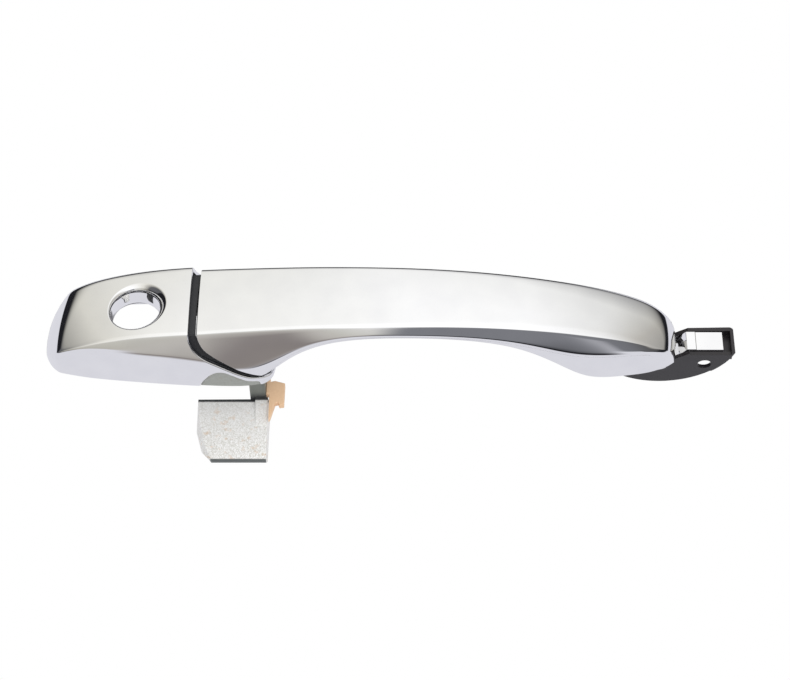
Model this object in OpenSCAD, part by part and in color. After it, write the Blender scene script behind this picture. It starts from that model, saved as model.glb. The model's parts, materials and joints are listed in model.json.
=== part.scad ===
// Outside pull handle for a car door: a fixed chrome lock cap and a chrome grip that
// swings outward about a vertical pivot behind the door skin.
// Millimetres. The door skin is the plane y = 0 and the street side is -Y.
// The handle runs along X from the lock cap to the pivot, and Z is up.
// The origin is where the lock cylinder's axis crosses the door skin.
// "Depth" t is the distance from the door skin towards the street, so y = -t.

/* [Chrome shells] */
// Wall thickness of the chrome-plated shells
shell_wall = 1.8; // [1.5:0.1:2]
// Clearance between the lock cap's lip and the tail of the grip
tail_gap = 3; // [2.6:0.1:3.2]
// How far the hand side of the grip bulges towards the door at mid span
back_bulge = 4.5; // [3:0.5:5.5]

/* [Lock bore] */
// Diameter of the bore that the lock cylinder sits in
bore_d = 17.2; // [16.6:0.1:17.6]
// Depth of the bore wall's door-side end
bore_back = 11.2; // [10.5:0.1:12]
// Depth at which the bore's mouth starts to flare
bore_flare = 18.8; // [18.6:0.1:19]

/* [Pivot] */
// Distance from the lock bore to the pivot along the handle
pivot_x = 200.9; // [200:0.1:202]
// Distance of the pivot behind the door skin
pivot_y = 9.5; // [9:0.1:10]
// Diameter of the pivot hole
pivot_d = 5; // [4:0.1:5.4]

/* [Hinge guide] */
// Radius of the guide's round webs
web_r = 26.2; // [25:0.1:27]
// Thickness of each web
web_t = 1.5; // [1.2:0.1:1.8]
// Lowest and highest faces of the guide
guide_lo = -3.8; // [-4.2:0.1:-3.4]
guide_hi = 7.1; // [6.8:0.1:7.5]

/* [Rear leg] */
// Distance of the paddle's street-side face behind the door skin
paddle_y = 30; // [28:0.5:32]
// Thickness of the paddle
paddle_t = 5; // [4:0.5:6]
// Width of the stem along the handle
stem_w = 5.7; // [5:0.1:6]
// Height of the stem
stem_h = 14; // [12:0.5:15]

/* [Fasteners] */
// Shaft diameter of the small self-tapping screws
small_screw_d = 2.4; // [2:0.1:2.6]
// Shaft diameter of the hinge end's screws
hinge_screw_d = 3; // [2.6:0.1:3.2]
// Minor diameter of the clamp insert's thread
clamp_thread_d = 5; // [4.2:0.1:5.2]

/* [Hidden] */
$fn = 48;
slack = 0.05;            // radial room between a fastener and its hole
hairline = 0.1;          // width of the joint line between the grip's two shells
seat = 0.2;              // room between neighbouring parts that only touch in use

// Columns of a station row. Each row is one cross-section of a shell:
// x on the mid line, lean of the section with height and with height squared,
// then height z and depth t of its corners.
X = 0;  LEAN = 1;  BOW = 2;
Z_TOP = 3;  T_TOP = 4;        // upper edge of the face
Z_CREASE = 5;  T_CREASE = 6;  // crease between face and chamfer
CROWN = 7;                    // how far the face bulges between the two
Z_CHAM = 8;  T_CHAM = 9;      // lower edge of the chamfer
Z_LOW = 10;  T_BASE = 11;     // lower edge of the base, and the base's depth
Z_HIGH = 12;                  // upper edge of the base

CAP = [
    [-33.0, 0.04, 0.012,  5.0,  0.0,  -5.0,  0.0, 0.0,  -5.4,  0.0,  -5.8, 0,  6.5],
    [-32.4, 0.06, 0.012,  6.4,  3.0,  -7.4,  2.6, 0.0,  -7.9,  1.8,  -8.4, 0,  9.5],
    [-30.6, 0.08, 0.010,  9.0,  7.6, -10.2,  6.2, 0.0, -10.8,  5.2, -11.4, 0, 12.6],
    [-28.2, 0.10, 0.007, 11.4, 11.2, -12.0, 10.0, 0.2, -12.5,  9.0, -13.0, 0, 14.6],
    [-26.4, 0.12, 0.004, 12.6, 13.4, -12.8, 12.2, 0.5, -13.2, 11.4, -13.6, 0, 15.4],
    [-23.0, 0.13, 0.002, 13.8, 14.8, -12.7, 13.8, 0.7, -13.3, 12.8, -14.2, 0, 16.0],
    [-15.0, 0.12, 0.000, 15.6, 16.8, -12.6, 17.4, 0.8, -13.6, 16.4, -15.8, 0, 16.8],
    [ -1.0, 0.10, 0.000, 17.0, 19.2, -12.7, 22.0, 0.9, -16.0, 16.4, -17.2, 0, 17.4],
    [ 13.0, 0.09, 0.000, 17.2, 21.2, -12.8, 23.6, 0.9, -16.8, 15.6, -18.4, 0, 17.7],
    [ 27.0, 0.06, 0.000, 17.0, 22.6, -12.7, 24.8, 0.9, -17.8, 13.6, -19.3, 0, 17.8],
    [ 39.0, 0.00, -.002, 16.4, 20.0, -12.7, 20.0, 0.9, -18.4, 10.6, -19.6, 0, 17.6],
    [ 47.0, 0.00, -.008, 14.8, 12.0, -12.7, 10.0, 0.9, -17.0,  6.6, -18.4, 0, 16.4],
    [ 50.5, 0.00, -.008, 13.4,  0.0, -12.4,  0.0, 0.0, -14.8,  0.0, -16.2, 0, 14.6]
];

GRIP = [
    [ 10.0, 0.09, 0,     16.2, 20.6, -13.0, 23.0, 0.8, -17.4, 15.0, -18.6,  0.5, 17.0],
    [ 26.0, 0.07, 0,     15.8, 22.4, -12.7, 24.6, 0.8, -18.4, 11.0, -19.0,  0.5, 16.9],
    [ 42.0, 0.00, 0,     15.2, 24.0, -12.5, 26.0, 0.8, -18.8,  8.4, -19.0,  1.5, 16.4],
    [ 56.0, 0.00, 0,     14.8, 25.2, -12.3, 27.0, 0.8, -15.4, 18.6, -14.6, 15.2, 15.5],
    [ 72.0, 0.00, 0,     14.3, 26.1, -12.1, 27.8, 0.8, -14.5, 24.6, -13.0, 20.6, 14.6],
    [ 94.0, 0.00, 0,     13.7, 26.5, -11.9, 28.5, 0.8, -14.4, 25.2, -12.9, 21.6, 14.0],
    [116.0, 0.00, 0,     12.9, 25.6, -11.8, 28.2, 0.8, -14.4, 24.0, -12.9, 20.2, 13.4],
    [134.0, 0.00, 0,     12.0, 23.8, -11.8, 26.8, 0.8, -14.8, 21.0, -13.8, 16.4, 12.8],
    [148.0, 0.00, 0,     11.2, 21.6, -11.8, 24.8, 0.8, -15.5, 16.2, -15.2,  7.0, 12.6],
    [158.0, 0.00, 0,     10.6, 19.6, -11.8, 22.6, 0.8, -15.6, 14.5, -16.4,  0.0, 12.6],
    [170.0, 0.00, 0,      9.6, 16.4, -11.6, 19.6, 0.8, -14.8, 14.4, -15.6,  0.5, 12.8],
    [180.0, 0.00, -.004,  7.8, 13.4, -11.2, 14.6, 0.8, -13.2, 13.1, -14.4,  0.5, 12.2],
    [185.4, 0.00, -.010,  4.8, 11.0, -10.6, 10.8, 0.6, -11.8,  9.8, -12.6,  0.5, 10.6],
    [188.2, 0.00, -.013,  2.6,  8.0,  -9.6,  8.2, 0.0, -10.4,  7.8, -11.0,  0.5,  9.2],
    [189.4, 0.00, -.014,  1.4,  4.0,  -8.8,  4.0, 0.0,  -9.4,  4.0,  -9.8,  0.5,  8.2],
    [189.8, 0.00, -.014,  1.0,  0.5,  -8.6,  0.5, 0.0,  -9.0,  0.5,  -9.4,  0.5,  8.0]
];

// Side view of the cap's lip, as x and depth, from the open face down to the tip
LIP = [[19.4, 30], [19.4, 22], [19.7, 20.5], [21.2, 17], [25.4, 13.6], [29, 11.3], [38.7, 4.9],
       [44.4, 3.3], [49, 2.8], [52, 2.4]];
// What is rounded off below the tip
TIP = [[44.5, -1], [44.5, 0], [46.5, 0.5], [48.3, 1.5], [49.6, 2.5], [54, 3], [54, -1]];

bore_r = bore_d / 2;
tube_r = bore_r + shell_wall;
guide_mid = (guide_lo + guide_hi) / 2;
tail_x = 45;             // where the grip's hand side starts
heel_x = 56;             // where its walls have reached the finger gap
foot_x = 187;            // where the hand side's floor ends under the foot

// ---- curves --------------------------------------------------------------

// A row of the station table, u from 0 at its first row to 1 at its last,
// by a uniform cubic B-spline that starts and ends on those two rows
function row_u(P, u) =
    let(n = len(P) - 1, s = min(max(u, 0), 1) * n, i = min(floor(s), n - 1), f = s - i,
        a = i == 0 ? 2 * P[0] - P[1] : P[i - 1],
        d = i + 2 > n ? 2 * P[n] - P[n - 1] : P[i + 2])
    ((1 - f)^3 * a + (3*f^3 - 6*f^2 + 4) * P[i] + (-3*f^3 + 3*f^2 + 3*f + 1) * P[i + 1]
        + f^3 * d) / 6;

// u at which the row's mid line is at x, by halving the range
function u_of(P, x, lo = 0, hi = 1, n = 18) =
    let(m = (lo + hi) / 2)
    n == 0 ? m : row_u(P, m)[X] < x ? u_of(P, x, m, hi, n - 1) : u_of(P, x, lo, m, n - 1);

function row_x(P, x) = row_u(P, u_of(P, x));
function mix(a, b, k) = a + (b - a) * k;
function step_up(a, b, x) = let(k = min(max((x - a) / (b - a), 0), 1)) k * k * (3 - 2 * k);
function place(r, p) = [r[X] + r[LEAN] * p[1] + r[BOW] * p[1]^2, -p[0], p[1]];

// Depth of the face of shell P over the point x, z
function face_t(P, x, z) =
    let(r = row_x(P, x - row_x(P, x)[LEAN] * z), k = (r[Z_TOP] - z) / (r[Z_TOP] - r[Z_CREASE]))
    mix(r[T_TOP], r[T_CREASE], k) + r[CROWN] * 4 * k * (1 - k);

// The same section set in by w, with the ends of the shell pulled in along x
function inset_row(r, w, x0, x1) =
    let(k0 = step_up(x0, x0 + 10, r[X]), k1 = step_up(x1, x1 - 6, r[X]), k = min(k0, k1) * w)
    [r[X] + w * (1 - k0) - w * (1 - k1), r[LEAN], r[BOW],
     r[Z_TOP] - w, r[T_TOP] - k, r[Z_CREASE] + 0.57 * w, r[T_CREASE] - k, r[CROWN],
     r[Z_CHAM] + w, r[T_CHAM] - 0.27 * k, r[Z_LOW] + w, r[T_BASE], r[Z_HIGH] - w];

// ---- section outlines, as points [depth, height] --------------------------

function towards(b, a, d) = b + (a - b) * min(d / max(norm(a - b), 0.001), 0.45);

// Three points that round the corner b between a and c
function round3(a, b, c, d) =
    let(p = towards(b, a, d), q = towards(b, c, d)) [p, (p + 2 * b + q) / 4, q];

function p_top(r) = [r[T_TOP], r[Z_TOP]];
function p_crease(r) = [r[T_CREASE], r[Z_CREASE]];
function p_cham(r) = [r[T_CHAM], r[Z_CHAM]];
function p_low(r) = [r[T_BASE], r[Z_LOW]];
function p_high(r) = [r[T_BASE], r[Z_HIGH]];

// Face, crease and chamfer, which every shell shares, from a above to e below
function front_line(r, a, e) =
    let(b = p_top(r), c = p_crease(r), d = p_cham(r))
    concat(round3(a, b, c, 1.6),
           [for (k = [0.2, 0.4, 0.6, 0.8]) mix(b, c, k) + [r[CROWN] * 4 * k * (1 - k), 0]],
           round3(b, c, d, 0.7), round3(c, d, e, 0.9));

function cap_line(r) =
    let(a = p_high(r), e = p_low(r))
    concat([a, mix(a, p_top(r), 0.5)], front_line(r, a, e), [mix(p_cham(r), e, 0.5), e]);

// The two lines along which the grip's outer and inner shells meet. They rise from the
// base behind the tail and fall back to it at the foot's end.
function seam_rise(r) =
    0.05 + 0.95 * step_up(tail_x, heel_x, r[X]) * step_up(foot_x, foot_x - 8, r[X]);
function upper_seam(r) = mix(p_high(r), p_top(r), 0.65 * seam_rise(r));
function lower_seam(r) =
    let(c = p_cham(r), e = p_low(r)) mix(e, mix(c, e, min(1.3 / norm(e - c), 0.6)), seam_rise(r));

function outer_line(r) =
    concat([upper_seam(r)], front_line(r, p_high(r), p_low(r)), [lower_seam(r)]);

// Bulge of the hand side, which fades out where the base meets the door
function bulge(r) = back_bulge * step_up(6, 20, r[T_BASE]);
function back_t(r, k) = r[T_BASE] - bulge(r) * 4 * k * (1 - k);

function inner_line(r) =
    let(e = p_low(r), h = p_high(r), s = towards(lower_seam(r), e, hairline),
        n = towards(upper_seam(r), h, hairline),
        m = [back_t(r, 0.5), mix(e[1], h[1], 0.5)])
    concat([s, mix(s, e, 0.4)], round3(s, e, m, 1.4),
           [for (k = [0.25, 0.5, 0.75]) [back_t(r, k), mix(e[1], h[1], k)]],
           round3(m, h, n, 1.4), [mix(h, n, 0.6), n]);

// ---- sheets and lofts ------------------------------------------------------

// Closed sheet between two grids of points with the same number of rows and columns
module sheet(outer, inner) {
    rows = len(outer);
    cols = len(outer[0]);
    size = rows * cols;
    points = concat([for (r = outer) for (p = r) p], [for (r = inner) for (p = r) p]);
    function at(side, i, j) = side * size + i * cols + j;
    // two triangles, split along the other diagonal where turn is true
    function quad(a, b, c, d, turn = false) =
        turn ? [[a, d, b], [b, d, c]] : [[a, c, b], [a, d, c]];
    // at two corners of the grid, only this diagonal keeps a triangle out of the base plane
    function turned(i, j) = (i < rows / 2) != (j < cols / 2);
    skin = [for (i = [0 : rows - 2]) for (j = [0 : cols - 2])
        for (f = quad(at(0, i, j), at(0, i, j + 1), at(0, i + 1, j + 1), at(0, i + 1, j),
                      turned(i, j))) f];
    lining = [for (i = [0 : rows - 2]) for (j = [0 : cols - 2])
        for (f = quad(at(1, i, j), at(1, i + 1, j), at(1, i + 1, j + 1), at(1, i, j + 1),
                      turned(i, j))) f];
    sides = [for (i = [0 : rows - 2]) for (f = concat(
        quad(at(0, i, 0), at(0, i + 1, 0), at(1, i + 1, 0), at(1, i, 0)),
        quad(at(0, i + 1, cols - 1), at(0, i, cols - 1), at(1, i, cols - 1),
             at(1, i + 1, cols - 1)))) f];
    ends = [for (j = [0 : cols - 2]) for (f = concat(
        quad(at(0, 0, j + 1), at(0, 0, j), at(1, 0, j), at(1, 0, j + 1)),
        quad(at(0, rows - 1, j), at(0, rows - 1, j + 1), at(1, rows - 1, j + 1),
             at(1, rows - 1, j)))) f];
    polyhedron(points, concat(skin, lining, sides, ends));
}

// Closed solid through a list of rings with the same number of points
module loft(rings) {
    n = len(rings);
    m = len(rings[0]);
    points = [for (r = rings) for (p = r) p];
    sides = [for (i = [0 : n - 2]) for (j = [0 : m - 1]) let(k = (j + 1) % m)
        for (f = [[i*m + j, (i + 1)*m + k, i*m + k], [i*m + j, (i + 1)*m + j, (i + 1)*m + k]]) f];
    polyhedron(points, concat(sides, [[for (j = [0 : m - 1]) j]],
                              [[for (j = [m - 1 : -1 : 0]) (n - 1)*m + j]]));
}

// Block given by its ranges of x, depth and height
module slab(x0, x1, t0, t1, z0, z1) {
    translate([x0, -t1, z0]) cube([x1 - x0, t1 - t0, z1 - z0]);
}

// Round bar through the door's direction, between two depths
module post(x, z, t0, t1, r) {
    translate([x, -t1, z]) rotate([-90, 0, 0]) cylinder(h = t1 - t0, r = r);
}

// Outline drawn as [x, depth] and raised between two heights
module prism(outline, z0, z1) {
    translate([0, 0, z0]) linear_extrude(z1 - z0)
        polygon([for (p = outline) [p[0], -p[1]]]);
}

// Outline drawn as [x, height], reaching from depth t0 to t1
module plate(outline, t0, t1) {
    translate([0, -t0, 0]) rotate([90, 0, 0]) linear_extrude(t1 - t0) polygon(outline);
}

// Slice of a shell's section: outline [depth, height] at x, thick along x
module bulkhead(outline, x, thick) {
    translate([x, 0, 0]) rotate([90, 0, 90]) linear_extrude(thick)
        polygon([for (p = outline) [-p[0], p[1]]]);
}

// Pan-head screw that points towards the street, its head's seat at depth t0
module screw(x, z, t0, len, d) {
    head_r = d * 0.95;
    head_h = d * 0.6;
    difference() {
        union() {
            post(x, z, t0, t0 + len, d / 2);
            post(x, z, t0 - head_h, t0, head_r);
        }
        slab(x - head_r * 0.7, x + head_r * 0.7, t0 - head_h - 1, t0 - head_h / 2,
             z - d * 0.12, z + d * 0.12);
        slab(x - d * 0.12, x + d * 0.12, t0 - head_h - 1, t0 - head_h / 2,
             z - head_r * 0.7, z + head_r * 0.7);
    }
}

// Everything on the grip's side of the lip, held off the cap by a clearance
module grip_side(gap) {
    d = [1, 0.3] * gap;
    prism(concat([for (p = LIP) p + d], [[53, -10], [230, -10], [230, 60], [18 + d[0], 60]]),
          -40, 40);
}

// ---- lock cap: fixed to the door -------------------------------------------

cap_rows = 40;
screw_spots = [[-22, 6.5], [-20, -8.5], [13, -9.8]];
frame_back = 1.2;        // depth of the frame plate's door side
frame_front = 3.2;
boss_r = 2.6;
// Arch in the lower wall that the rear leg shows through, as x and depth
ARCH = [[22, -1], [22.3, 0.7], [23.8, 3.4], [25.8, 6], [27.4, 7.3], [29.1, 7.9], [31, 7.7],
        [33.1, 6.5], [35.5, 4.9], [38.5, 3], [40.4, 2.5], [42.8, 2], [43.3, 0], [43.3, -1]];

function cap_grid(w) =
    [for (i = [0 : cap_rows]) let(r = row_u(w == 0 ? CAP
        : [for (q = CAP) inset_row(q, w, CAP[0][X], CAP[len(CAP) - 1][X])], i / cap_rows))
        [for (p = cap_line(r)) place(r, p)]];

module cap_shell() {
    color("gainsboro") difference() {
        union() {
            difference() {
                sheet(cap_grid(0), cap_grid(shell_wall));
                grip_side(0);
                prism(ARCH, -30, -12);
                prism(TIP, -30, 30);
            }
            post(0, 0, bore_back, bore_flare + 0.6, tube_r);
            for (s = screw_spots)
                post(s[0], s[1], frame_front + seat, face_t(CAP, s[0], s[1]) - 1, boss_r);
        }
        post(0, 0, 0, 30, bore_r);
        // mouth flared at 45 degrees
        translate([0, -bore_flare, 0]) rotate([90, 0, 0])
            cylinder(h = 6, r1 = bore_r, r2 = bore_r + 6);
        for (s = screw_spots)
            post(s[0], s[1], 0, 11, small_screw_d / 2 + slack);
    }
}

// Outline of the cap's base on the door, set in by w
function cap_base(w) =
    let(n = 24, low = [for (i = [1 : n - 1]) place(row_u(CAP, i / n), p_low(row_u(CAP, i / n)))],
        high = [for (i = [n - 1 : -1 : 1])
            place(row_u(CAP, i / n), p_high(row_u(CAP, i / n)))],
        mid_x = 9, half = 42)
    [for (p = concat(low, high))
        [mid_x + (p[0] - mid_x) * (1 - w / half), p[2] - w * sign(p[2])]];

insert_y = 8.8;          // distance of the clamp insert behind the door skin
insert_r = 4;

module cap_frame() {
    hole_r = bore_r + 2.2;
    color("dimgray") difference() {
        union() {
            intersection() {
                plate(cap_base(shell_wall + 0.8), frame_back, frame_front);
                union() {
                    slab(-40, 17.5, 0, 10, -30, 30);
                    slab(17, 46, 0, 10, 9.8, 30);
                }
            }
            // collar that the lock seal sits on
            post(0, 0, frame_back, bore_back - 2.2, tube_r + 1.8);
            slab(-24, -12, -insert_y - insert_r - 0.8, frame_back, -5.4, 5.4);
        }
        // way for the key cylinder, open at the top so that the cap drops over it
        post(0, 0, -30, 30, hole_r);
        slab(-hole_r, hole_r, -30, 30, 0, 30);
        // seat of the clamp insert
        translate([-25, insert_y, 0]) rotate([0, 90, 0])
            cylinder(h = 10, r = insert_r + 2 * slack);
        for (s = screw_spots)
            post(s[0], s[1], -30, 30, small_screw_d / 2 + 0.2);
        // pockets for the screw heads
        for (s = screw_spots)
            post(s[0], s[1], -30, frame_back, small_screw_d + 0.3);
    }
}

module cap_frame_screws() {
    color("silver") for (s = screw_spots)
        screw(s[0], s[1], frame_back, 8.5, small_screw_d);
}

module cap_end_seal() {
    x = 14.4;
    r = inset_row(row_x(CAP, x), shell_wall + 0.7, -100, 100);
    color("black") difference() {
        intersection() {
            bulkhead([p_high(r), p_top(r), p_crease(r), p_cham(r), p_low(r)], x, 1.6);
            slab(0, 30, frame_front + seat, 30, -30, 30);
        }
        post(screw_spots[2][0], screw_spots[2][1], 0, 30, boss_r + 0.3);
    }
}

module cap_gasket() {
    color("black") difference() {
        plate(cap_base(shell_wall + 0.5), slack, frame_back - slack);
        plate(cap_base(shell_wall + 1.8), -1, 3);
        // the gasket stops where the leg swings and above the key cylinder
        slab(20, 50, -2, 4, -30, 9);
        slab(-bore_r - 2.2, bore_r + 2.2, -2, 4, 0, 30);
    }
}

module clamp_insert() {
    color("goldenrod") translate([-24.2, insert_y, 0]) rotate([0, 90, 0]) difference() {
        union() {
            cylinder(h = 9, r = insert_r - 0.3);
            for (z = [0, 3.4, 6.8]) translate([0, 0, z]) cylinder(h = 2.2, r = insert_r);
        }
        translate([0, 0, -1]) cylinder(h = 11, r = clamp_thread_d / 2);
    }
}

module tail_bumpers() {
    color("black") for (x = [26, 38.5])
        slab(x, x + 5, frame_front, flange_t - seat, 10.4, 13);
}

// Ring that seals the lock bore's tube against the frame
module lock_seal() {
    color("black") difference() {
        post(0, 0, bore_back - 2.1, bore_back - 0.1, tube_r + 1.2);
        post(0, 0, 0, 30, bore_r + 1.4);
    }
}

// Die-cast block that fills the arch, a little behind the chrome
module arch_block() {
    mid = 32.7;
    color("lightgray") intersection() {
        sheet(cap_grid(0.5), cap_grid(shell_wall + 0.9));
        prism([for (p = ARCH) [mid + (p[0] - mid) * 0.98, p[1] - 0.25]], -30, -12);
    }
}

// Dark gutter under the lip, which the tail of the grip closes on
module lip_gutter() {
    near = shell_wall + slack;
    color("black") difference() {
        intersection() {
            sheet(cap_grid(near), cap_grid(near + 0.5));
            grip_side(-1.2);
            slab(0, 48, 1.6, 40, -30, 30);
        }
        grip_side(tail_gap - 0.8);
    }
}

// ---- grip: swings about the pivot --------------------------------------------

grip_rows = 46;
flange_t = 8.6;          // depth of the rear leg's flange, its door side
flange_h = 2.4;
core_tail_x = 26;        // where the core and the leg's flange start
core_end_x = 182;
leg_spots = [[28, -8], [28, 6.5]];
hinge_spots = [[173, guide_mid], [182, guide_mid]];
tongue_floor = 0.3;      // depth of the tongue's seat under the foot

// A row of the grip set in by w on every side
function inset_grip(q, w) =
    let(r = inset_row(q, w, -100, GRIP[len(GRIP) - 1][X]))
    [for (k = [0 : len(r) - 1]) r[k] + (k == T_BASE ? w : 0)];
function lined(w) = [for (q = GRIP) inset_grip(q, w)];

function street_grid(P) =
    [for (i = [0 : grip_rows]) let(r = row_u(P, mix(u_of(GRIP, 16), 1, i / grip_rows)))
        [for (p = outer_line(r)) place(r, p)]];
function hand_grid(P) =
    [for (i = [0 : grip_rows])
        let(r = row_u(P, mix(u_of(GRIP, tail_x), u_of(GRIP, foot_x), i / grip_rows)))
        [for (p = inner_line(r)) place(r, p)]];

module grip_outer_shell() {
    color("gainsboro") intersection() {
        sheet(street_grid(GRIP), street_grid(lined(shell_wall)));
        grip_side(tail_gap);
    }
}

module grip_inner_shell() {
    color("gainsboro") difference() {
        intersection() {
            sheet(hand_grid(GRIP), hand_grid(lined(shell_wall)));
            grip_side(tail_gap);
        }
        for (s = hinge_spots)
            post(s[0], s[1], -1, 4, hinge_screw_d / 2 + 0.3);
    }
}

// Ring of the core at x: it fills the shells apart from a small clearance
function core_ring(x) =
    let(r = row_x(GRIP, x), in = shell_wall + 0.6, tail = flange_t + flange_h + slack,
        lo = r[Z_CREASE] + 1.8, hi = r[Z_TOP] - in - 0.4,
        edge = max(tail, r[T_BASE] + in), middle = max(tail, back_t(r, 0.5) + in))
    [for (p = [[edge, lo], [middle, mix(lo, hi, 0.35)], [middle, mix(lo, hi, 0.65)], [edge, hi],
               [r[T_TOP] - in, hi], [r[T_CREASE] - in, lo]]) place(r, p)];

module grip_core() {
    pocket = 8;
    color("dimgray") difference() {
        loft([for (x = concat([core_tail_x, 34, 42, 47, 50, 53, 56], [for (k = [64 : 10 : 144]) k],
                              [149, 154, 160, 168, 175, core_end_x])) core_ring(x)]);
        // lightening pockets, open towards the street
        for (x = [62 : pocket + 3 : 160])
            slab(x, x + pocket, back_t(row_x(GRIP, x + pocket / 2), 0.5) + shell_wall + 2.6, 40,
                 -7, 6);
        for (s = leg_spots)
            post(s[0], s[1], 0, flange_t + 9.6, small_screw_d / 2 + slack);
        for (s = hinge_spots)
            post(s[0], s[1], -1, 9.6, hinge_screw_d / 2 + slack);
    }
}

module tail_end_plug() {
    x = 23.4;
    r = inset_row(row_x(GRIP, x), shell_wall + 1.3, -100, 400);
    color("black") intersection() {
        bulkhead([p_high(r), p_top(r), p_crease(r), p_cham(r), p_low(r)], x, 1.2);
        slab(0, 40, 18.8, 40, -30, 30);
    }
}

// Dark lining of the tail's edge
module tail_liner() {
    near = shell_wall + slack;
    color("black") difference() {
        intersection() {
            sheet(street_grid(lined(near)), street_grid(lined(near + 0.4)));
            grip_side(tail_gap - 0.5);
            slab(0, 46, 0, 40, -30, 30);
        }
        grip_side(tail_gap + 3.2);
    }
}

// Outline of the paddle as [x, height], anticlockwise from its lower right corner
PADDLE_FRONT = [[43.9, -31.8], [44.1, -5.9], [18.5, -6.1], [19.4, -15], [21.2, -24], [24.4, -31.8]];
PADDLE_BACK = [[44.3, -29.5], [44.7, -6.6], [18.2, -6.6], [18.2, -17.5], [20.3, -25.5], [26, -29.5]];

module rear_leg() {
    stem_x = 37.6;
    stem_z = -6;
    color("lightgray") difference() {
        union() {
            // flange in the tail
            slab(core_tail_x, 44.4, flange_t, flange_t + flange_h, -13.4, 12.6);
            slab(stem_x, stem_x + stem_w, -paddle_y - paddle_t + 1, flange_t + 1, stem_z,
                 stem_z + stem_h);
            hull() {
                plate(PADDLE_FRONT, -paddle_y - 1.4, -paddle_y);
                plate(PADDLE_BACK, -paddle_y - paddle_t, -paddle_y - paddle_t + 1);
            }
            // rib that carries the stem into the paddle
            hull() {
                slab(39.4, 44, -paddle_y - 1, -paddle_y + 1.4, -7.4, stem_z);
                slab(39.8, 43.9, -paddle_y - 1, -paddle_y + 0.2, -17, -16.6);
            }
        }
        for (s = leg_spots)
            post(s[0], s[1], 0, 20, small_screw_d / 2 + 0.2);
    }
}

module rear_leg_screws() {
    color("silver") for (s = leg_spots)
        screw(s[0], s[1], flange_t, 9.4, small_screw_d);
}

module anti_rattle_clip() {
    near = paddle_y - 3.4;
    far = near + 2.6;
    color("burlywood") union() {
        // spring tab with its hooked end
        plate([[43.4, -0.8], [46.5, -0.1], [50.2, -1.2], [50, -10.2], [48.3, -10.4],
               [47.9, -9.2], [46.8, -9.5], [45.1, -15.6], [44.5, -16.4], [44.5, -5.8],
               [43.4, -5.8]], -far, -near);
        // band that grips the stem
        slab(43.4, 44.8, -far, -near, -2, stem_h - 4.4);
        slab(36, 44.8, -far, -near, stem_h - 5.9, stem_h - 4.4);
        slab(36, 37.5, -far, -near, stem_h - 9, stem_h - 4.4);
    }
}

module hinge_tongue() {
    pad_t = -2.3;
    color("gainsboro") difference() {
        prism([[169, tongue_floor], [186.6, tongue_floor], [188, -2.4], [189.6, -7.6],
               [191, -7.9], [193.4, -3.4], [194.2, pad_t], [197.4, pad_t], [197.5, pad_t - 0.25],
               [207.1, pad_t - 0.25], [207.1, pad_t - 2.4], [195.6, pad_t - 2.4], [192, -9.9],
               [188.6, -9.9], [186.4, -4.4], [186, -2.5], [169, -2.5]],
              guide_lo + web_t + seat, guide_hi - web_t - seat);
        for (s = hinge_spots)
            post(s[0], s[1], -5, 2, hinge_screw_d / 2 + 0.1);
    }
}

module hinge_guide() {
    hub = [185.8, 4.8];  // centre of the round webs, as x and depth
    base_t = -6.5;
    end_x = 209.6;
    corner_z = guide_hi - 1.7;
    color("dimgray") difference() {
        union() {
            intersection() {
                translate([hub[0], -hub[1], guide_lo])
                    cylinder(h = guide_hi - guide_lo, r = web_r, $fn = 96);
                difference() {
                    prism([[158, base_t + 0.2], [189.5, base_t + 0.2], [195, -2.4], [209.4, -2],
                           [220, -2], [220, -40], [158, -40]], guide_lo, guide_hi);
                    // the window between the two webs
                    slab(150, 209.9, -60, 5, guide_lo + web_t, guide_hi - web_t);
                    slab(200, 230, -60, -7.5, guide_lo + web_t, guide_hi - web_t);
                    // the lower web is thinner along its rim, and its front edge is set back
                    slab(150, 230, -60, -14, guide_lo - 1, guide_lo + 0.3);
                    slab(195, 209.9, -3.4, 5, guide_lo - 1, guide_mid);
                    // rounded outer corner
                    difference() {
                        slab(end_x, 220, -60, 5, corner_z, 20);
                        post(end_x, corner_z, -61, 6, guide_hi - corner_z);
                    }
                }
            }
            // floor that closes the window's end
            slab(207.6, 210.4, -7, -5.2, guide_lo + 0.5, guide_hi - 0.5);
            slab(166, 186.2, base_t, -2.6, guide_lo, guide_hi);
        }
        translate([pivot_x, pivot_y, guide_lo - 1])
            cylinder(h = guide_hi - guide_lo + 2, d = pivot_d);
        for (s = hinge_spots)
            post(s[0], s[1], base_t - 1, 2, hinge_screw_d / 2 + 0.1);
    }
}

module hinge_screws() {
    color("silver") for (s = hinge_spots)
        screw(s[0], s[1], -6.5, 15.9, hinge_screw_d);
}

// Rubber pad between the foot and the door skin, with a window for the hinge
module front_foot_pad() {
    xs = [167 : 2.5 : 189.5];
    low = [for (x = xs) let(r = row_x(GRIP, x)) place(r, p_low(r) + [0, 1.4])];
    high = [for (i = [len(low) - 1 : -1 : 0])
        let(r = row_x(GRIP, 167 + 2.5 * i)) place(r, p_high(r) - [0, 1.4])];
    color("black") difference() {
        plate([for (p = concat(low, high)) [p[0], p[2]]], 0, 0.3);
        slab(168.4, 200, -1, 1, guide_lo - 0.6, guide_hi + 0.6);
    }
}

cap_shell();
cap_frame();
cap_frame_screws();
cap_end_seal();
cap_gasket();
clamp_insert();
tail_bumpers();
lock_seal();
arch_block();
lip_gutter();
grip_outer_shell();
grip_inner_shell();
grip_core();
tail_end_plug();
tail_liner();
rear_leg();
rear_leg_screws();
anti_rattle_clip();
hinge_tongue();
hinge_guide();
hinge_screws();
front_foot_pad();
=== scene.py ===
import json
import math

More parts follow.
